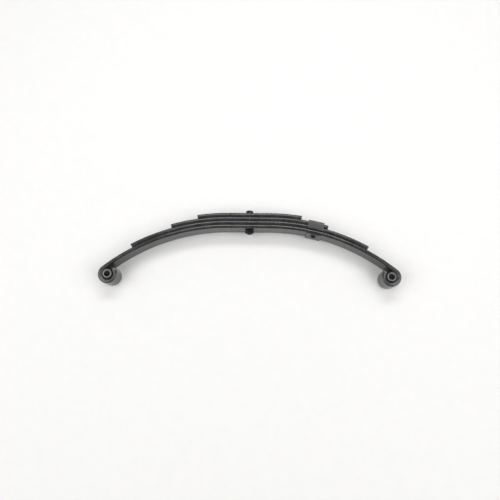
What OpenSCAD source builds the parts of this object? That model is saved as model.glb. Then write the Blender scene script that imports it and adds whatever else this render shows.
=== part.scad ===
// Four-leaf double-eye leaf spring, drawn arch up as it stands on its eyes.
// X runs along the spring, Y across its width, Z up towards the short leaf.
// The origin is on the centre bolt's axis, on the short leaf's upper face.

/* [Leaves] */
// Distance between the centres of the two eyes
eye_spacing = 641.35; // [600:0.05:680]
// Width of every leaf
leaf_width = 44.45; // [40:0.05:60]
// Thickness of every leaf
leaf_thickness = 9.1; // [7:0.1:10]
// Radius of the rolled side edges of a leaf
edge_radius = 6.6; // [5.5:0.1:9]
// Radius of the upper surface of the long leaf, outside the flat seat
arch_radius = 454; // [420:1:520]
// Half the length of the flat seat in the middle of every leaf
seat_half = 47; // [40:0.5:55]
// Half the span of the second leaf
second_half = 270.8; // [240:0.1:275]
// Half the span of the third leaf
third_half = 181.2; // [175:0.1:210]
// Half the span of the short leaf
short_half = 120.9; // [90:0.1:130]

/* [Eyes] */
// Diameter of the hole inside a rolled eye
eye_bore = 25.4; // [24:0.1:28]
// How far round the eye is rolled, in degrees
eye_roll = 277; // [270:1:304]
// Diameter of the hole in the steel sleeve
sleeve_bore = 14.6; // [12:0.1:16]
// Wall of the steel sleeve
sleeve_wall = 2.2; // [1.5:0.1:2.5]
// Length of the steel sleeve, a little more than the leaf's width
sleeve_length = 47.5; // [44.5:0.1:60]

/* [Centre bolt] */
// Diameter of the bolt's shank
bolt_diameter = 11.1; // [8:0.1:12]
// Diameter of the bolt's round head
head_diameter = 17.5; // [15:0.1:20]
// Straight side of the head, which locates the axle seat
head_side = 9.5; // [6:0.1:12]
// Rise of the domed top of the head
head_dome = 2.5; // [1:0.1:3]
// Width of the nut across its flats
nut_flats = 17.5; // [16:0.1:20]
// Height of the nut
nut_height = 8; // [6:0.1:10]
// Length of bolt that stands out of the nut
bolt_end = 2; // [1:0.1:5]

/* [Rebound clip] */
// Distance of the clip from the centre bolt, along X
clip_offset = 148.7; // [135:0.1:155]
// Width of the strap along the spring
strap_width = 35; // [25:0.5:40]
// Thickness of the strap
strap_thickness = 3; // [2:0.1:4]
// Room between the strap and the sides and top of the leaves
strap_room = 0.3; // [0.2:0.05:1]
// How far the strap's lower end stops short of the leaf's side
strap_inset = 4; // [3:0.5:10]
// Diameter of the rivet's shank
rivet_diameter = 8; // [6:0.1:9]
// Diameter of the rivet's head
rivet_head = 13; // [11:0.1:15]
// Height of the rivet's head
rivet_height = 5.5; // [3:0.1:6]
// Distance of the rivet from the middle of the leaf, towards the strap's lower end
rivet_offset = 8; // [0:0.5:9]

/* [Hidden] */
$fn = 96;

bush_clearance = 0.05;  // radial, rubber to eye and rubber to sleeve
hole_clearance = 0.4;   // radial, bolt to leaves
thread_clearance = 0.05;
rivet_clearance = 0.05;
strap_seat_gap = 0.02;  // strap to the long leaf's underside
low_bend = 1.5;         // inside radius of the strap's corner under the leaves
top_bend = 3.2;         // inside radius of its corners over the leaves
flap_gap = 0.8;         // strap's upper end to the level of the long leaf's upper face
through = 1;            // how far a cutting tool passes a face
nut_bevel_angle = 30;
bolt_bevel = 1.2;

pack_height = 4 * leaf_thickness;
main_top = -3 * leaf_thickness;
arch_z = main_top - arch_radius;

// the eye's outside is tangent to the long leaf's upper surface from within
eye_inner = eye_bore / 2;
eye_outer = eye_inner + leaf_thickness;
eye_reach = eye_spacing / 2 - seat_half;
eye_angle = asin(eye_reach / (arch_radius - eye_outer));
eye_z = arch_z + (arch_radius - eye_outer) * cos(eye_angle);
sleeve_outer = sleeve_bore / 2 + sleeve_wall;
eye_lap = 0.8;     // degrees of the rolled eye that run back inside the arch, to join it
eye_inset = 0.03;  // keeps the lapped surfaces from lying exactly on each other

main_bottom_radius = arch_radius - leaf_thickness;
clip_angle = asin((clip_offset - seat_half) / main_bottom_radius);
strap_half_angle = strap_width / 2 / main_bottom_radius * 180 / PI;
strap_base = main_bottom_radius - strap_seat_gap;
strap_inside = leaf_width / 2 + strap_room;
strap_outside = strap_inside + strap_thickness;
strap_top = arch_radius + 2 * leaf_thickness + strap_room;

// Cross-section of a leaf: flat faces and rolled sides, thickness along X.
module bar_section(inset = 0) {
    intersection() {
        square([leaf_thickness - 2 * inset, leaf_width], center = true);
        union() {
            square([leaf_thickness, leaf_width - 2 * edge_radius], center = true);
            for (side = [-1, 1])
                translate([0, side * (leaf_width / 2 - edge_radius)])
                    circle(r = edge_radius - inset);
        }
    }
}

// Sweeps the section in XY about an axis along Y through the given point, from an angle
// measured from +X towards +Z, and on by `turn` degrees.
module swept(at, from, turn) {
    translate([at[0], 0, at[1]]) rotate([90, 0, 0]) rotate([0, 0, from])
        rotate_extrude(angle = turn) children();
}

// Leaf number `level` counted up from the long one, curved out to the given angle.
module curved_bar(level, end_angle) {
    middle = (level - 0.5) * leaf_thickness;
    translate([-seat_half, 0, main_top + middle]) rotate([0, 90, 0])
        linear_extrude(2 * seat_half) bar_section();
    for (side = [0, 1]) mirror([side, 0, 0])
        swept([seat_half, arch_z], 90, -end_angle)
            translate([arch_radius + middle, 0]) bar_section();
}

module bolt_hole() {
    translate([0, 0, -pack_height - through])
        cylinder(r = bolt_diameter / 2 + hole_clearance, h = pack_height + 2 * through);
}

// Places a shape under the long leaf at the rivet, with Z along the leaf's outward normal.
module at_rivet() {
    translate([seat_half, -rivet_offset, arch_z]) rotate([0, clip_angle, 0])
        translate([0, 0, main_bottom_radius]) children();
}

module main_leaf() {
    color("#26282a") difference() {
        union() {
            curved_bar(0, eye_angle);
            for (side = [0, 1]) mirror([side, 0, 0])
                swept([eye_spacing / 2, eye_z], 90 - eye_angle + eye_lap, -eye_roll - eye_lap)
                    translate([eye_inner + leaf_thickness / 2, 0]) bar_section(eye_inset);
        }
        bolt_hole();
        at_rivet() translate([0, 0, -through])
            cylinder(r = rivet_diameter / 2 + rivet_clearance, h = leaf_thickness + 2 * through);
    }
}

// A leaf without eyes: its end is cut square at the given half span.
module plain_leaf(level, half_span) {
    middle_radius = arch_radius + (level - 0.5) * leaf_thickness;
    color("#2b2d2f") difference() {
        curved_bar(level, asin((half_span - seat_half) / middle_radius));
        bolt_hole();
    }
}

module second_leaf() { plain_leaf(1, second_half); }
module third_leaf() { plain_leaf(2, third_half); }
module short_leaf() { plain_leaf(3, short_half); }

// Round head above the short leaf; shank down through the pack with a bevelled end.
module centre_bolt() {
    radius = bolt_diameter / 2;
    length = pack_height + nut_height + bolt_end;
    dome = (pow(head_diameter / 2, 2) + pow(head_dome, 2)) / (2 * head_dome);
    color("#1c1d1e") {
        intersection() {
            cylinder(r = head_diameter / 2, h = head_side + head_dome);
            translate([0, 0, head_side + head_dome - dome]) sphere(r = dome);
        }
        translate([0, 0, bolt_bevel - length]) cylinder(r = radius, h = length - bolt_bevel);
        translate([0, 0, -length]) cylinder(r1 = radius - bolt_bevel, r2 = radius, h = bolt_bevel);
    }
}

// Hex nut with a corner towards -Y and its lower corners bevelled.
module centre_nut() {
    flat = nut_flats / 2;
    color("#1c1d1e") translate([0, 0, -pack_height - nut_height]) difference() {
        intersection() {
            rotate([0, 0, 30]) cylinder(r = flat / cos(30), h = nut_height, $fn = 6);
            cylinder(r1 = flat, r2 = flat + nut_height / tan(nut_bevel_angle), h = nut_height);
        }
        translate([0, 0, -through])
            cylinder(r = bolt_diameter / 2 + thread_clearance, h = nut_height + 2 * through);
    }
}

// One corner of the strap's section, a quarter ring about the given centre.
module strap_corner(x, y, x_side, y_side, inside) {
    outside = inside + strap_thickness;
    translate([x, y]) intersection() {
        difference() {
            circle(r = outside);
            circle(r = inside);
        }
        translate([min(0, x_side * 2 * outside), min(0, y_side * 2 * outside)])
            square(2 * outside);
    }
}

// The strap's section with +Y away from the lower end: across under the long leaf, up past all
// three leaves, back over the third and down in front of the third and second.
module strap_section() {
    low = strap_base + low_bend;
    high = strap_top - top_bend;
    low_corner = strap_inside - low_bend;
    top_corner = strap_inside - top_bend;
    lower_end = strap_inset - leaf_width / 2;
    upper_end = arch_radius + flap_gap;
    translate([strap_base - strap_thickness, lower_end])
        square([strap_thickness, low_corner - lower_end]);
    strap_corner(low, low_corner, -1, 1, low_bend);
    translate([low, strap_inside]) square([high - low, strap_thickness]);
    strap_corner(high, top_corner, 1, 1, top_bend);
    translate([strap_top, -top_corner]) square([strap_thickness, 2 * top_corner]);
    strap_corner(high, -top_corner, 1, -1, top_bend);
    translate([upper_end, -strap_outside]) square([high - upper_end, strap_thickness]);
}

module clip_strap() {
    middle = 90 - clip_angle;
    color("#35383a") difference() {
        swept([seat_half, arch_z], middle - strap_half_angle, 2 * strap_half_angle)
            mirror([0, 1]) strap_section(); // the sweep turns the section's +Y to -Y
        at_rivet() translate([0, 0, -strap_thickness - through])
            cylinder(r = rivet_diameter / 2 + rivet_clearance, h = strap_thickness + 2 * through);
    }
}

// Button head under the strap; the shank ends just below the long leaf's upper face.
module clip_rivet() {
    radius = rivet_head / 2;
    flush = 0.2;
    hollow = 0.05; // the strap's curve leaves this under the middle of the flat head
    seat = strap_seat_gap + strap_thickness + hollow;
    ball = (pow(radius, 2) + pow(rivet_height, 2)) / (2 * rivet_height);
    color("#1c1d1e") at_rivet() {
        intersection() {
            translate([0, 0, -seat - rivet_height + ball]) sphere(r = ball);
            translate([0, 0, -seat - rivet_height]) cylinder(r = radius, h = rivet_height);
        }
        translate([0, 0, -seat - through])
            cylinder(r = rivet_diameter / 2, h = leaf_thickness - flush + seat + through);
    }
}

// A tube along Y, centred on an eye.
module eye_tube(side, inner, outer, length) {
    translate([side * eye_spacing / 2, length / 2, eye_z]) rotate([90, 0, 0]) difference() {
        cylinder(r = outer, h = length);
        translate([0, 0, -through]) cylinder(r = inner, h = length + 2 * through);
    }
}

module bush(side) {
    color("#101010")
        eye_tube(side, sleeve_outer + bush_clearance, eye_inner - bush_clearance, leaf_width);
}

module sleeve(side) {
    color("#9a9c9e") eye_tube(side, sleeve_bore / 2, sleeve_outer, sleeve_length);
}

module left_bush() { bush(-1); }
module left_sleeve() { sleeve(-1); }
module right_bush() { bush(1); }
module right_sleeve() { sleeve(1); }

main_leaf();
second_leaf();
third_leaf();
short_leaf();
centre_bolt();
centre_nut();
clip_strap();
clip_rivet();
left_bush();
left_sleeve();
right_bush();
right_sleeve();
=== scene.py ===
from math import asin, cos, pi, radians, sin, tan

import bmesh
import bpy
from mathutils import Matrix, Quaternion, Vector


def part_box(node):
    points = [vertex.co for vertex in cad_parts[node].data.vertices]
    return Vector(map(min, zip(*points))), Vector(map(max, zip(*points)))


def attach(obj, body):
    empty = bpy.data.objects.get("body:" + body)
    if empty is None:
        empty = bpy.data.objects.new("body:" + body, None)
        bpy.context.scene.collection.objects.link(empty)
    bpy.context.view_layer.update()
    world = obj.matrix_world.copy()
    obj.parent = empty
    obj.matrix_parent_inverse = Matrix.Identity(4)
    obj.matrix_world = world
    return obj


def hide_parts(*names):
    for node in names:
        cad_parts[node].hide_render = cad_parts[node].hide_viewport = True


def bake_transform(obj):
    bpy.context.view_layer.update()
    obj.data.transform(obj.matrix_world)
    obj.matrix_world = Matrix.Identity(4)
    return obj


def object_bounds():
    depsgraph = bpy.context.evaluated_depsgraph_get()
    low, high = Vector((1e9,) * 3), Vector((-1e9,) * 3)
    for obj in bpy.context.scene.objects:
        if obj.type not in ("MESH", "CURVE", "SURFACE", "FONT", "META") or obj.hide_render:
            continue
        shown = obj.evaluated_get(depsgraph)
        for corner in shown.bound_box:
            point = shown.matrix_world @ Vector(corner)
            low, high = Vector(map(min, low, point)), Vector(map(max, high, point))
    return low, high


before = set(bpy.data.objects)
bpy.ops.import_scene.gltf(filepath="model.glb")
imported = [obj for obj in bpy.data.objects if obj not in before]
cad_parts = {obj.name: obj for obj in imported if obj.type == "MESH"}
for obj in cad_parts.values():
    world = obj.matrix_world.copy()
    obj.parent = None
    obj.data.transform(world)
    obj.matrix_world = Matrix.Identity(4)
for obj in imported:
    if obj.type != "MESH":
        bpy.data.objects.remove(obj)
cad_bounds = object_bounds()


# ---- Leaves
# Four leaves of flat spring-steel bar with rolled sides, sheared to length, arched hot, quenched
# and painted black. They lie one on another, flat in the middle where the axle seat clamps them.
leaf_gauge = 0.0091
leaf_width = 0.04445
side_radius = 0.0066         # the bar's rolled sides are wider arcs than half its gauge
corner_soft = 0.0006         # how far the corner between a face and a side is rounded
seat_half = 0.047            # half of the flat in the middle
arch_radius = 0.454          # the long leaf's upper face
station_step = 0.0047        # distance between the rings of points along a leaf
end_bevel = 0.0005           # the sheared end's edges are dressed this much
bolt_hole = 0.00595          # radius of the hole punched for the centre bolt
rivet_hole = 0.00405         # radius of the hole for the clip's rivet
rest_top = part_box("short_leaf")[1].z
arch_centre = Vector((seat_half, 0, rest_top - 3 * leaf_gauge - arch_radius))

eye_centre = (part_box("right_sleeve")[0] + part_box("right_sleeve")[1]) / 2
eye_bore = 0.0127            # radius inside the rolled eye
eye_roll = radians(277)      # how far round the eye is rolled
eye_middle = eye_bore + leaf_gauge / 2
eye_start = asin((eye_centre.x - seat_half) / (arch_radius - eye_bore - leaf_gauge))


def skin(name, rings, closed=False, sharp=30):
    """A mesh over rings of equally many points: capped at both ends, or closed on itself."""
    count = len(rings[0])
    faces = []
    for r in range(len(rings) if closed else len(rings) - 1):
        near, far = r * count, (r + 1) % len(rings) * count
        for k in range(count):
            after = (k + 1) % count
            faces.append((near + k, near + after, far + after, far + k))
    if not closed:
        faces.append(tuple(range(count)))
        faces.append(tuple(range((len(rings) - 1) * count, len(rings) * count)))
    mesh = bpy.data.meshes.new(name)
    mesh.from_pydata([point for ring in rings for point in ring], [], faces)
    shape = bmesh.new()
    shape.from_mesh(mesh)
    bmesh.ops.remove_doubles(shape, verts=shape.verts, dist=1e-7)
    bmesh.ops.recalc_face_normals(shape, faces=shape.faces)
    shape.to_mesh(mesh)
    shape.free()
    mesh.shade_smooth()
    mesh.set_sharp_from_angle(angle=radians(sharp))
    piece = bpy.data.objects.new(name, mesh)
    bpy.context.collection.objects.link(piece)
    return piece


def bar_outline():
    """The rolled bar's section as (across, up) from its middle, all the way round."""
    half, bulge = leaf_gauge / 2, leaf_width / 2 - side_radius
    side_steps, corner_steps, face_steps = 7, 4, 4
    reach = asin(half / side_radius)
    soft_from = reach * 0.86     # the rounding of the corner begins here on the side's arc
    corner = Vector((bulge + side_radius * cos(reach), half))
    before = Vector((bulge + side_radius * cos(soft_from), side_radius * sin(soft_from)))
    after = corner - Vector((corner_soft, 0))
    upper = [(bulge + side_radius * cos(reach * k / side_steps), side_radius * sin(reach * k / side_steps))
             for k in range(side_steps - 1)]
    for k in range(corner_steps + 1):
        t = k / corner_steps
        p = before * (1 - t) ** 2 + corner * 2 * t * (1 - t) + after * t ** 2
        upper.append((p.x, p.y))
    quarter = upper + [(bulge * k / face_steps, half) for k in range(face_steps, -1, -1)]
    right = [(a, -u) for a, u in reversed(quarter[1:])] + quarter
    return right + [(-a, u) for a, u in reversed(right[1:-1])]


def arc_station(radius, angle, centre):
    """A place on an arc in the XZ plane, turned from straight up towards +X, and its outward way."""
    out = Vector((sin(angle), 0, cos(angle)))
    return centre + out * radius, out


def leaf_stations(level, tip):
    """Places along the middle of a leaf's right half, with the way up at each."""
    radius = arch_radius + (level - 0.5) * leaf_gauge
    height = arch_centre.z + radius
    flats = round(seat_half / station_step)
    places = [(Vector((seat_half * k / flats, 0, height)), Vector((0, 0, 1))) for k in range(flats)]
    steps = round(radius * tip / station_step)
    return places + [arc_station(radius, tip * k / steps, arch_centre) for k in range(steps + 1)]


def rolled_eye():
    """Stations that carry the long leaf on round its eye."""
    steps = 60
    return [arc_station(eye_middle, eye_start + eye_roll * k / steps, eye_centre)
            for k in range(1, steps + 1)]


def leaf_half(name, stations, side):
    """Half a leaf, from the middle of the spring out to its dressed end. side is 1 or -1."""
    outline = bar_outline()
    last, before = stations[-1], stations[-2]
    ahead = (last[0] - before[0]).normalized()
    full = [(place, up, 0) for place, up in stations[:-1]]
    full += [(last[0] - ahead * end_bevel, last[1], 0), (last[0], last[1], end_bevel)]
    rings = []
    for place, up, inset in full:
        ring = []
        for across, rise in outline:
            a = across * (1 - 2 * inset / leaf_width)
            r = rise * (1 - 2 * inset / leaf_gauge)
            p = place + up * r
            ring.append((p.x * side, a, p.z))
        rings.append(ring)
    return skin(name, rings)


def drill(piece, start, end, radius):
    """Bores a round hole through the piece, from start to end."""
    way = end - start
    turn = Vector((0, 0, 1)).rotation_difference(way)
    steps = 64
    rings = [[start + way * t + turn @ Vector((radius * cos(a), radius * sin(a), 0))
              for a in (2 * pi * k / steps for k in range(steps))] for t in (0, 1)]
    drill_bit = skin(piece.name + "_bit", rings)
    cut = piece.modifiers.new("hole", "BOOLEAN")
    cut.operation, cut.solver, cut.object = "DIFFERENCE", "EXACT", drill_bit
    bored = bpy.data.meshes.new_from_object(piece.evaluated_get(bpy.context.evaluated_depsgraph_get()))
    piece.modifiers.clear()
    bpy.data.objects.remove(drill_bit)
    piece.data = bored
    bored.set_sharp_from_angle(angle=radians(30))


def add(tree, kind, inputs=None, **settings):
    """A node, with its sockets linked or set by name or number."""
    node = tree.nodes.new("ShaderNode" + kind)
    for key, value in settings.items():
        setattr(node, key, value)
    for key, value in (inputs or {}).items():
        if isinstance(value, bpy.types.NodeSocket):
            tree.links.new(value, node.inputs[key])
        else:
            node.inputs[key].default_value = value
    return node


def group_tree(name, inputs, outputs):
    """An empty shader group with the given sockets. Returns the tree and its two end nodes."""
    tree = bpy.data.node_groups.new(name, "ShaderNodeTree")
    for label, kind, value in inputs:
        tree.interface.new_socket(label, in_out="INPUT", socket_type=kind).default_value = value
    for label, kind in outputs:
        tree.interface.new_socket(label, in_out="OUTPUT", socket_type=kind)
    return tree, tree.nodes.new("NodeGroupInput"), tree.nodes.new("NodeGroupOutput")


def band(tree, value, low, high):
    """0 below low, 1 above high, smooth between."""
    return add(tree, "MapRange", {"Value": value, "From Min": low, "From Max": high},
               interpolation_type="SMOOTHSTEP").outputs["Result"]


def math_node(tree, operation, first, second=0.0):
    """The result of one sum on two values."""
    return add(tree, "Math", {0: first, 1: second}, operation=operation).outputs[0]


def colour_mix(tree, factor, first, second):
    """A colour between two, by a mask."""
    node = tree.nodes.new("ShaderNodeMix")
    node.data_type = "RGBA"
    for index, value in ((0, factor), (6, first), (7, second)):     # the node's three colour sockets
        if isinstance(value, bpy.types.NodeSocket):
            tree.links.new(value, node.inputs[index])
        else:
            node.inputs[index].default_value = value
    return node.outputs[2]


def black_paint_group():
    """Thin black paint over scaly steel: orange peel, scale beneath it, a patchy tone that is partly a
    painted sheen, and convex edges turned grey in patches, partly rubbed paint and partly a painted
    highlight.
    """
    tree, given, made = group_tree(
        "paint over scale",
        [("Paint", "NodeSocketColor", (0.02, 0.02, 0.021, 1)),
         ("Rubbed and highlit", "NodeSocketColor", (0.12, 0.12, 0.12, 1)),
         ("Edge wear and highlight", "NodeSocketFloat", 0.5),
         ("Gloss", "NodeSocketFloat", 0.35)],
        [("Color", "NodeSocketColor"), ("Roughness", "NodeSocketFloat"),
         ("Metallic", "NodeSocketFloat"), ("Height", "NodeSocketFloat")])
    where = add(tree, "TexCoord").outputs["Object"]
    patches = add(tree, "TexNoise", {"Vector": where, "Scale": 38.0, "Detail": 5.0,
                                     "Roughness": 0.62}).outputs["Fac"]
    peel = add(tree, "TexNoise", {"Vector": where, "Scale": 620.0, "Detail": 2.0}).outputs["Fac"]
    scale_pits = add(tree, "TexVoronoi", {"Vector": where, "Scale": 420.0, "Randomness": 1.0},
                     feature="SMOOTH_F1").outputs["Distance"]
    specks = add(tree, "TexNoise", {"Vector": where, "Scale": 1500.0, "Detail": 3.0,
                                    "Roughness": 0.7}).outputs["Fac"]
    streaked = add(tree, "Mapping", {"Vector": where, "Scale": (22.0, 700.0, 90.0)})
    streaks = add(tree, "TexNoise", {"Vector": streaked.outputs[0], "Scale": 1.0,
                                     "Detail": 4.0}).outputs["Fac"]
    # Convex edges turn grey in patches: partly rubbed paint, partly a painted highlight along the corners.
    edge = band(tree, add(tree, "NewGeometry").outputs["Pointiness"], 0.53, 0.6)
    uneven = math_node(tree, "ADD", patches, math_node(tree, "MULTIPLY", specks, 0.5))
    worn_and_highlit_edge = math_node(tree, "MULTIPLY", edge, band(tree, uneven, 0.62, 0.86))
    rubbed_and_highlit = math_node(tree, "MULTIPLY", worn_and_highlit_edge, given.outputs["Edge wear and highlight"])
    scuffs = math_node(tree, "MULTIPLY", band(tree, streaks, 0.62, 0.75),
                       math_node(tree, "MULTIPLY", band(tree, patches, 0.5, 0.7), 0.25))
    # Large patches of lighter paint at random: an uneven tone that is partly a painted sheen.
    tone_and_sheen = band(tree, patches, 0.3, 0.75)
    lighter_tone_and_sheen = colour_mix(tree, 0.5, given.outputs["Paint"], (0.06, 0.06, 0.062, 1))
    paint = colour_mix(tree, tone_and_sheen, given.outputs["Paint"], lighter_tone_and_sheen)
    dust = math_node(tree, "MULTIPLY", band(tree, specks, 0.64, 0.74), 0.12)
    dusty = colour_mix(tree, math_node(tree, "ADD", scuffs, dust), paint, given.outputs["Rubbed and highlit"])
    colour = colour_mix(tree, rubbed_and_highlit, dusty, given.outputs["Rubbed and highlit"])
    mottle = math_node(tree, "MULTIPLY", math_node(tree, "SUBTRACT", patches, 0.5), 0.3)
    rough = math_node(tree, "ADD", given.outputs["Gloss"], mottle)
    rough = math_node(tree, "ADD", rough, math_node(tree, "MULTIPLY", scuffs, 0.4))
    height = math_node(tree, "ADD", math_node(tree, "MULTIPLY", peel, 0.6),
                       math_node(tree, "MULTIPLY", scale_pits, 0.8))
    height = math_node(tree, "ADD", height, math_node(tree, "MULTIPLY", streaks, 0.5))
    for label, value in (("Color", colour), ("Roughness", rough), ("Height", height),
                         ("Metallic", math_node(tree, "MULTIPLY", rubbed_and_highlit, 0.7))):
        tree.links.new(value, made.inputs[label])
    return tree


paint_over_scale = black_paint_group()


def painted(name, paint, rubbed_and_highlit, edge_wear_and_highlight, gloss, relief, shine):
    """A finish of the shared paint. gloss is its roughness, shine its index of refraction. The grey given
    for rubbed paint colours dust, scuffs and worn edges; on the edges it is also a painted highlight, and
    the wear amount sets how much of it lies there.
    """
    finish = bpy.data.materials.new(name)
    finish.use_nodes = True
    tree = finish.node_tree
    shader = tree.nodes["Principled BSDF"]
    effect = add(tree, "Group", node_tree=paint_over_scale)
    for label, value in (("Paint", paint), ("Rubbed and highlit", rubbed_and_highlit), ("Edge wear and highlight", edge_wear_and_highlight), ("Gloss", gloss)):
        effect.inputs[label].default_value = value
    bump = add(tree, "Bump", {"Strength": 0.35, "Distance": relief, "Height": effect.outputs["Height"]})
    for label, value in (("Base Color", effect.outputs["Color"]),
                         ("Roughness", effect.outputs["Roughness"]),
                         ("Metallic", effect.outputs["Metallic"]), ("Normal", bump.outputs[0])):
        tree.links.new(value, shader.inputs[label])
    shader.inputs["IOR"].default_value = shine
    return finish


# The grey on the leaves' edges is partly rubbed paint, partly a painted highlight.
leaf_paint = painted("leaf_paint", paint=(0.016, 0.0163, 0.0165, 1), rubbed_and_highlit=(0.17, 0.17, 0.168, 1),
                     edge_wear_and_highlight=0.9, gloss=0.23, relief=0.0001, shine=1.68)


def make_leaf(node, level, tip, extra=()):
    """Both halves of one leaf, one for each side of the spring, drilled for the centre bolt."""
    below_pack, above_pack = -5 * leaf_gauge, rest_top + leaf_gauge
    spare = 0.004            # how far the rivet's drill starts and ends outside the leaf
    for word, side in (("left", -1), ("right", 1)):
        half = leaf_half(f"{node}_{word}", leaf_stations(level, tip) + list(extra), side)
        drill(half, Vector((0, 0, below_pack)), Vector((0, 0, above_pack)), bolt_hole)
        if node == "main_leaf" and side == 1:
            drill(half, clip_place(0, -spare, rivet_across),
                  clip_place(0, leaf_gauge + spare, rivet_across), rivet_hole)
        half.data.materials.append(leaf_paint)
        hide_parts(node)
        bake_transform(half)


# The clip's rivet goes through the long leaf, at this place round the arch.
under_radius = arch_radius - leaf_gauge
clip_offset = 0.1487         # from the centre bolt out to the clip's middle
rivet_across = -0.008        # the rivet is nearer to one side of the leaf
clip_turn = asin((clip_offset - seat_half) / under_radius)


def clip_place(along, rise, across=0.0):
    """A point by the clip: along the leaf, above the long leaf's underside, and across."""
    angle = clip_turn + along / under_radius
    place, _ = arc_station(under_radius + rise, angle, arch_centre)
    return Vector((place.x, across, place.z))


make_leaf("main_leaf", 0, eye_start, rolled_eye())
for level, node in enumerate(("second_leaf", "third_leaf", "short_leaf"), start=1):
    outer = arch_radius + level * leaf_gauge
    make_leaf(node, level, asin((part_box(node)[1].x - seat_half) / outer))


# ---- Centre bolt and nut
# A forged bolt holds the leaves together. Its round domed head locates the axle seat, its cut
# thread takes a hex nut under the long leaf, and both were painted with the spring.
bolt_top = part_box("centre_bolt")[1].z
bolt_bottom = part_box("centre_bolt")[0].z
head_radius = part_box("centre_bolt")[1].x
shank_radius = 0.00555
head_rise = 0.0025           # of the head's dome above its straight side
rim_soft = 0.0004            # rounding between the dome and the side
foot_soft = 0.0006           # rounding of the head's lower edge
thread_pitch = 0.00127
thread_depth = 0.00062
thread_top = -0.0345         # the thread is cut up to here
thread_rows = 8              # rings of points in one turn of the thread
point_length = 0.001         # plain bevelled end below the thread
nut_low, nut_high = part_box("centre_nut")[0].z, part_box("centre_nut")[1].z
nut_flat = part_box("centre_nut")[1].x


def ring_about(centre, way, height, radius, steps=96):
    """A ring of points round an axis; radius is a number, or a function of the angle."""
    turn = Vector((0, 0, 1)).rotation_difference(way)
    points = []
    for k in range(steps):
        angle = 2 * pi * k / steps
        r = radius(angle) if callable(radius) else radius
        points.append(centre + turn @ Vector((r * cos(angle), r * sin(angle), height)))
    return points


def turned(name, outline, centre, way=Vector((0, 0, 1)), closed=False, sharp=30):
    """A piece turned about an axis, from its outline of (radius, height) pairs."""
    return skin(name, [ring_about(centre, way, h, r) for r, h in outline], closed, sharp)


def dome(rim, top, rise, steps=14):
    """Outline of a dome from its pole out to its rim."""
    ball = (rim ** 2 + rise ** 2) / (2 * rise)
    reach = asin(rim / ball)
    return [(max(ball * sin(reach * k / steps), 1e-6), top - ball + ball * cos(reach * k / steps))
            for k in range(steps + 1)]


def thread_radius(height):
    """The radius round a right-hand thread at this height."""
    def at(angle):
        turn = (height / thread_pitch - angle / (2 * pi)) % 1
        ridge = 1 - abs(2 * turn - 1)
        fade = min(1, max(0, (thread_top - height) / thread_pitch))
        crest = min(1, max(0, ridge * 1.3 - 0.12))      # flat at the crests and at the roots
        return shank_radius - thread_depth * (1 - crest) * fade
    return at


bolt_line = Vector((0, 0, 0))
rim = bolt_top - head_rise
bolt = dome(head_radius - rim_soft, bolt_top, head_rise)
bolt += [(head_radius - 0.3 * rim_soft, rim - 0.3 * rim_soft), (head_radius, rim - rim_soft),
         (head_radius, foot_soft), (head_radius - foot_soft / 3, foot_soft / 4),
         (head_radius - foot_soft, 0.0), (shank_radius, 0.0), (shank_radius, thread_top)]
rows = round((thread_top - bolt_bottom - point_length) / (thread_pitch / thread_rows))
for row in range(1, rows + 1):
    height = thread_top - row * thread_pitch / thread_rows
    bolt.append((thread_radius(height), height))
bolt += [(shank_radius - 0.0009, bolt_bottom + 0.0003), (shank_radius - 0.0013, bolt_bottom)]
centre_bolt = turned("centre_bolt_forged", bolt, bolt_line)


def hex_radius(flat, cap):
    """The radius round a hex nut, no more than cap: its bevel cuts the corners to a circle."""
    def at(angle):
        return min(cap, flat / cos((angle - pi / 2 + pi / 6) % (pi / 3) - pi / 6))
    return at


nut_face = nut_flat * 0.97   # radius of the flat ring that is left on each end
nut_bevel = tan(radians(30))
bevel_rows = [k * 0.00022 for k in range(7)]
nut_bore = shank_radius + 0.00005
bore_soft = 0.0006           # the tapped hole's ends are countersunk
nut = [(nut_bore, nut_low + bore_soft), (nut_bore + 0.0007, nut_low)]
nut += [(hex_radius(nut_flat, nut_face + rise / nut_bevel), nut_low + rise) for rise in bevel_rows]
nut += [(hex_radius(nut_flat, nut_face + drop / nut_bevel), nut_high - drop)
        for drop in reversed(bevel_rows)]
nut += [(nut_bore + 0.0007, nut_high), (nut_bore, nut_high - bore_soft)]
centre_nut = turned("centre_nut_hex", nut, bolt_line, closed=True)

# The grey on the bolt's and nut's edges is partly rubbed paint, partly a painted highlight.
bolt_paint = painted("bolt_paint", paint=(0.006, 0.006, 0.006, 1), rubbed_and_highlit=(0.12, 0.12, 0.12, 1),
                     edge_wear_and_highlight=0.35, gloss=0.4, relief=0.0001, shine=1.3)
for piece, node in ((centre_bolt, "centre_bolt"), (centre_nut, "centre_nut")):
    piece.data.materials.append(bolt_paint)
    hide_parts(node)
    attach(piece, "leaf_pack")


# ---- Rebound clip
# A strip of mild steel riveted under the long leaf, then bent up past the far side of the pack,
# over the third leaf and down in front of the third and second. It keeps the leaves together
# when the spring rebounds.
strap_gauge = 0.003
strap_half = 0.0175          # half the strip's width
strap_low = -0.00002 - strap_gauge / 2                  # its middle, under the long leaf
strap_high = 3 * leaf_gauge + 0.0003 + strap_gauge / 2  # and over the third leaf
strap_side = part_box("clip_strap")[1].y - strap_gauge / 2
low_bend = 0.003             # radius of the bend under the leaves, at the strip's middle
top_bend = 0.0047            # radius of the bends over the leaves
strap_start = -0.018225      # where the strip begins, under the long leaf's near side
strap_end = leaf_gauge + 0.0008
strap_soft = 0.0005          # rounding of the strip's edges


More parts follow.
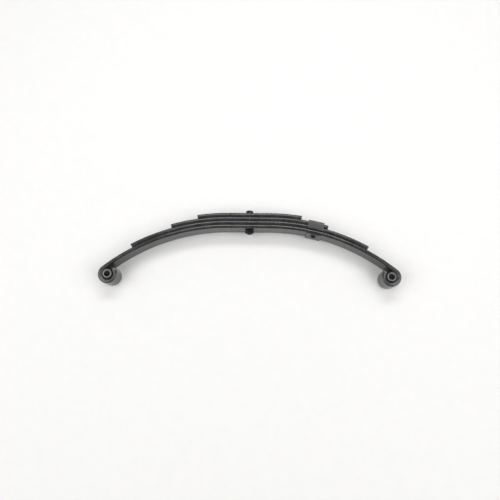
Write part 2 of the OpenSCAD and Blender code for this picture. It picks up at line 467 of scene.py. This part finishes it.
def strap_route():
    """The strip's route round the leaves, as (across, rise, way its outer face looks)."""
    bend_steps, leg_steps = 12, 8
    low_turn, low = strap_side - low_bend, strap_low + low_bend
    top_turn, high = strap_side - top_bend, strap_high - top_bend
    legs = [((strap_start, strap_low), (low_turn, strap_low), 180, None),
            ((strap_side, low), (strap_side, high), 90, (low_turn, low, low_bend)),
            ((top_turn, strap_high), (-top_turn, strap_high), 0, (top_turn, high, top_bend)),
            ((-strap_side, high), (-strap_side, strap_end), -90, (-top_turn, high, top_bend))]
    route = []
    for start, stop, way, bend in legs:
        if bend:
            across, rise, radius = bend
            for k in range(1, bend_steps):
                angle = radians(way + 90 - 90 / bend_steps * k)
                route.append((across + radius * sin(angle), rise + radius * cos(angle), angle))
        for k in range(leg_steps + 1):
            t = k / leg_steps
            route.append((start[0] + (stop[0] - start[0]) * t, start[1] + (stop[1] - start[1]) * t,
                          radians(way)))
    return route


def strip_outline():
    """The strip's section as (along the leaf, out from the middle), all the way round."""
    steps = 6
    flat, straight = strap_half - strap_soft, strap_gauge / 2 - strap_soft
    upper = [(flat * (k / steps), strap_gauge / 2) for k in range(steps)]
    upper += [(flat + strap_soft * sin(a), straight + strap_soft * cos(a))
              for a in (radians(90 / steps * k) for k in range(steps + 1))]
    right = upper + [(s, -t) for s, t in reversed(upper)]
    return right + [(-s, t) for s, t in reversed(right[1:-1])]


def bent_strap():
    """The strip wrapped along its route and round the arch of the leaves."""
    route, rings = strap_route(), []
    for index, (across, rise, way) in enumerate(route):
        inset = end_bevel if index in (0, len(route) - 1) else 0
        ring = []
        for s, t in strip_outline():
            along, out = s * (1 - inset / strap_half), t * (1 - 2 * inset / strap_gauge)
            ring.append(clip_place(along, rise + out * cos(way), across + out * sin(way)))
        rings.append(ring)
    return skin("clip_strap_bent", rings, sharp=40)


clip_strap = bent_strap()
drill(clip_strap, clip_place(0, -0.01, rivet_across), clip_place(0, 0.005, rivet_across), rivet_hole)
# The grey on the clip's edges is partly rubbed paint, partly a painted highlight.
clip_paint = painted("clip_paint", paint=(0.05, 0.05, 0.0505, 1), rubbed_and_highlit=(0.22, 0.22, 0.215, 1),
                     edge_wear_and_highlight=1.0, gloss=0.32, relief=0.00012, shine=1.65)

rivet_radius = 0.0065        # of the button head
rivet_shank = 0.004
rivet_rise = 0.0055          # of the head
rivet_seat = 0.00307         # from the long leaf's underside down to the head's flat
rivet_soft = 0.0002
rivet_down = Vector((-sin(clip_turn), 0, -cos(clip_turn)))
rivet = dome(rivet_radius - rivet_soft, rivet_seat + rivet_rise, rivet_rise - 0.0003)
rivet += [(rivet_radius, rivet_seat + rivet_soft), (rivet_radius - rivet_soft, rivet_seat),
          (rivet_shank, rivet_seat), (rivet_shank, 0.0003 - leaf_gauge),
          (rivet_shank - 0.0003, rivet_soft - leaf_gauge)]
clip_rivet = turned("clip_rivet_button", rivet, clip_place(0, 0, rivet_across), rivet_down)

for piece, node, finish, slot in ((clip_strap, "clip_strap", clip_paint, "clip_paint"),
                                  (clip_rivet, "clip_rivet", bolt_paint, "bolt_steel")):
    piece.data.materials.append(finish)
    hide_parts(node)
    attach(piece, "rebound_clip")


# ---- Eye bushes
# A moulded rubber bush is pressed into each eye and held by its own squeeze. Its ends are
# slightly dished where the mould shut.
bush_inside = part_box("right_sleeve")[1].x - eye_centre.x + 0.00005
bush_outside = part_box("right_bush")[1].x - eye_centre.x
bush_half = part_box("right_bush")[1].y
dish = 0.0007                # depth of the hollow in each end
lip = 0.0006                 # width of the rounded edges
across_eye = Vector((0, 1, 0))


def bush_end(sign):
    """Outline of one end, from the bore out to the rim."""
    return [(bush_inside, sign * (bush_half - lip)), (bush_inside + lip, sign * bush_half),
            (bush_inside + 2 * lip, sign * (bush_half - dish / 2)),
            ((bush_inside + bush_outside) / 2, sign * (bush_half - dish)),
            (bush_outside - 1.5 * lip, sign * (bush_half - dish / 2)),
            (bush_outside - lip, sign * bush_half), (bush_outside, sign * (bush_half - lip))]


def rubber():
    """Matt black rubber with a grey bloom and a fine moulded grain."""
    finish = bpy.data.materials.new("bush_rubber")
    finish.use_nodes = True
    tree = finish.node_tree
    shader = tree.nodes["Principled BSDF"]
    where = add(tree, "TexCoord").outputs["Object"]
    bloom = add(tree, "TexNoise", {"Vector": where, "Scale": 160.0, "Detail": 6.0}).outputs["Fac"]
    grain = add(tree, "TexNoise", {"Vector": where, "Scale": 2400.0, "Detail": 2.0}).outputs["Fac"]
    colour = colour_mix(tree, band(tree, bloom, 0.42, 0.72), (0.010, 0.010, 0.010, 1),
                        (0.035, 0.034, 0.032, 1))
    bump = add(tree, "Bump", {"Strength": 0.3, "Distance": 0.0001, "Height": grain})
    rough = math_node(tree, "ADD", math_node(tree, "MULTIPLY", bloom, 0.3), 0.45)
    for label, value in (("Base Color", colour), ("Roughness", rough), ("Normal", bump.outputs[0])):
        tree.links.new(value, shader.inputs[label])
    return finish


bush_rubber = rubber()
for word, side in (("left", -1), ("right", 1)):
    centre = Vector((side * eye_centre.x, 0, eye_centre.z))
    outline = bush_end(1) + list(reversed(bush_end(-1)))
    bush = turned(f"{word}_bush_moulded", outline, centre, across_eye, closed=True, sharp=50)
    bush.data.materials.append(bush_rubber)
    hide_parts(f"{word}_bush")
    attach(bush, f"{word}_end")


# ---- Eye sleeves
# A steel tube is pressed through each bush and stands a little proud of it. The hanger bolt
# passes through it. It is cut and bevelled on a lathe and left bare.
sleeve_inside = 0.0073       # radius of the hole for the hanger bolt
sleeve_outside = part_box("right_sleeve")[1].x - eye_centre.x
sleeve_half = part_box("right_sleeve")[1].y
sleeve_bevel = 0.0004


def turned_steel():
    """Bare steel, dulled in patches, with lathe lines round it."""
    finish = bpy.data.materials.new("sleeve_steel")
    finish.use_nodes = True
    tree = finish.node_tree
    shader = tree.nodes["Principled BSDF"]
    where = add(tree, "TexCoord").outputs["Object"]
    tarnish = add(tree, "TexNoise", {"Vector": where, "Scale": 210.0, "Detail": 6.0,
                                     "Roughness": 0.65}).outputs["Fac"]
    scratches = add(tree, "Mapping", {"Vector": where, "Scale": (2600.0, 60.0, 2600.0)})
    lines = add(tree, "TexNoise", {"Vector": scratches.outputs[0], "Scale": 1.0,
                                   "Detail": 2.0}).outputs["Fac"]
    colour = colour_mix(tree, band(tree, tarnish, 0.45, 0.75), (0.3, 0.3, 0.292, 1),
                        (0.13, 0.12, 0.108, 1))
    bump = add(tree, "Bump", {"Strength": 0.25, "Distance": 0.00006, "Height": lines})
    rough = math_node(tree, "ADD", math_node(tree, "MULTIPLY", tarnish, 0.4), 0.16)
    for label, value in (("Base Color", colour), ("Roughness", rough), ("Normal", bump.outputs[0])):
        tree.links.new(value, shader.inputs[label])
    shader.inputs["Metallic"].default_value = 1.0
    return finish


sleeve_steel = turned_steel()
for word, side in (("left", -1), ("right", 1)):
    centre = Vector((side * eye_centre.x, 0, eye_centre.z))
    outline = []
    for sign in (1, -1):
        end = [(sleeve_inside, sign * (sleeve_half - sleeve_bevel)),
               (sleeve_inside + sleeve_bevel, sign * sleeve_half),
               (sleeve_outside - sleeve_bevel, sign * sleeve_half),
               (sleeve_outside, sign * (sleeve_half - sleeve_bevel))]
        outline += end if sign == 1 else list(reversed(end))
    sleeve = turned(f"{word}_sleeve_turned", outline, centre, across_eye, closed=True)
    sleeve.data.materials.append(sleeve_steel)
    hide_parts(f"{word}_sleeve")
    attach(sleeve, f"{word}_tube")


# ---- The board it lies on
# The spring lies on its far edges against a pale board. The board has one face: from behind it
# is clear, and shadow rays pass it, so that the lamp behind can light the spring.
board_at = cad_bounds[1].y + 0.0004
board_half = 4.0
sheet = bpy.data.meshes.new("board")
corners = [(board_half * x, board_at, board_half * z) for x, z in ((-1, -1), (1, -1), (1, 1), (-1, 1))]
sheet.from_pydata(corners, [], [(0, 1, 2, 3)])
board = bpy.data.objects.new("board", sheet)
bpy.context.collection.objects.link(board)
board_white = bpy.data.materials.new("board_white")
board_white.use_nodes = True
tree = board_white.node_tree
shader = tree.nodes["Principled BSDF"]
where = add(tree, "TexCoord").outputs["Object"]
fibres = add(tree, "TexNoise", {"Vector": where, "Scale": 60.0, "Detail": 4.0}).outputs["Fac"]
tree.links.new(colour_mix(tree, fibres, (0.86, 0.855, 0.84, 1), (0.9, 0.895, 0.885, 1)),
               shader.inputs["Base Color"])
shader.inputs["Roughness"].default_value = 0.9
see_through = add(tree, "BsdfTransparent")
unseen = add(tree, "Math", {0: add(tree, "NewGeometry").outputs["Backfacing"],
                            1: add(tree, "LightPath").outputs["Is Shadow Ray"]}, operation="MAXIMUM")
either = add(tree, "MixShader", {0: unseen.outputs[0], 1: shader.outputs[0], 2: see_through.outputs[0]})
tree.links.new(either.outputs[0], tree.nodes["Material Output"].inputs["Surface"])
board.data.materials.append(board_white)


# ---- Light and camera
# One lamp above and in front is the main light. Two large ones low at the sides soften the
# shadow under the arch, and one behind the board lights the spring for a look from there.
def lamp(name, place, aim, width, depth, watts):
    """A rectangular soft lamp at place, turned towards aim."""
    light = bpy.data.lights.new(name, "AREA")
    light.shape, light.size, light.size_y, light.energy = "RECTANGLE", width, depth, watts
    holder = bpy.data.objects.new(name, light)
    holder.location = place
    holder.rotation_mode = "QUATERNION"
    holder.rotation_quaternion = (Vector(aim) - Vector(place)).to_track_quat("-Z", "Y")
    bpy.context.collection.objects.link(holder)


lamp("key", (0.1, -1.82, 1.15), (0, 0, -0.08), 1.8, 0.5, 17.0)
for side in (-1, 1):
    lamp("side", (side * 1.9, -2.2, -0.6), (0, 0, -0.12), 2.4, 2.4, 46.0)
lamp("back", (0.6, 2.6, 1.9), (0, 0, -0.08), 2.0, 2.0, 90.0)

# The room is bright overhead and dim towards the ground.
world = bpy.data.worlds.new("pale room")
world.use_nodes = True
tree = world.node_tree
heading = add(tree, "SeparateXYZ", {0: add(tree, "TexCoord").outputs["Generated"]}).outputs["Z"]
lit = add(tree, "MapRange", {"Value": heading, "From Min": -0.3, "From Max": 0.7,
                             "To Min": 0.12, "To Max": 0.4})
tree.links.new(lit.outputs["Result"], tree.nodes["Background"].inputs["Strength"])
tree.nodes["Background"].inputs["Color"].default_value = (1, 1, 1, 1)
bpy.context.scene.world = world
bpy.context.scene.view_settings.view_transform = "Standard"

# The camera is in front of the near edges and a little below the spring.
camera = bpy.data.objects.new("camera", bpy.data.cameras.new("camera"))
camera.data.lens = 34.08
camera.location = (0.0239, -1.0737, -0.328)
aim = Vector((0.00186, 0, -0.08363)) - camera.location
camera.rotation_mode = "QUATERNION"
camera.rotation_quaternion = aim.to_track_quat("-Z", "Y") @ Quaternion((0, 0, 1), radians(0.874))
bpy.context.collection.objects.link(camera)
bpy.context.scene.camera = camera
